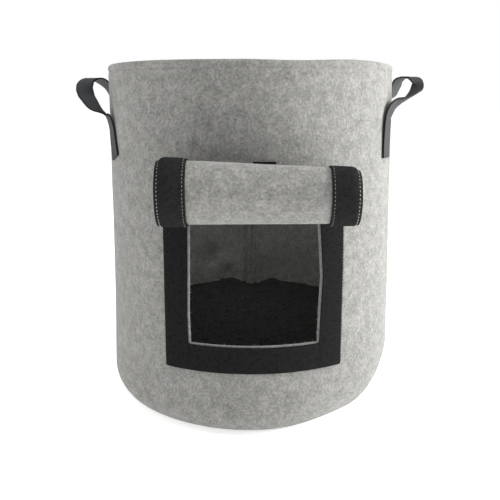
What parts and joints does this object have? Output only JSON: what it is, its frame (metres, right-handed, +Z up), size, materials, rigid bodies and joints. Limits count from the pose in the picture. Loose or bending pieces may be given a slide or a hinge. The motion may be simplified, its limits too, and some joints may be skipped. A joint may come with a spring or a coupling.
{
  "type": "felt grow bag with soil",
  "caption": "Round felt grow bag with side handles, a taped window in its front, a rolled-up flap that closes it, and a bed of soil inside.",
  "frame": {"origin": "centre of the base's underside, on the surface it stands on", "axes": "+Z up, the window and the rolled flap face -Y, the handles stand out along X"},
  "size_m": [0.3644, 0.3603, 0.35],
  "materials": {
    "felt": "heathered light grey needle felt with darker and lighter fibres, matt",
    "hook_tape": "black hook tape, matt",
    "loop_tape": "black loop tape, soft and matt, with white stitching near its edges",
    "webbing": "black polypropylene webbing with a fine ribbed weave and darker edges",
    "soil": null
  },
  "bodies": {
    "root": {"bag_wall": "felt", "bag_base": "felt", "frame_tape_left": "hook_tape", "frame_tape_right": "hook_tape", "frame_tape_bottom": "hook_tape", "flap": "felt", "flap_tape_left": "loop_tape", "flap_tape_right": "loop_tape", "flap_tape_bottom": "loop_tape", "keeper_tab": "hook_tape", "handle_left": "webbing", "handle_right": "webbing", "soil_bed": "soil"}
  },
  "joints": []
}
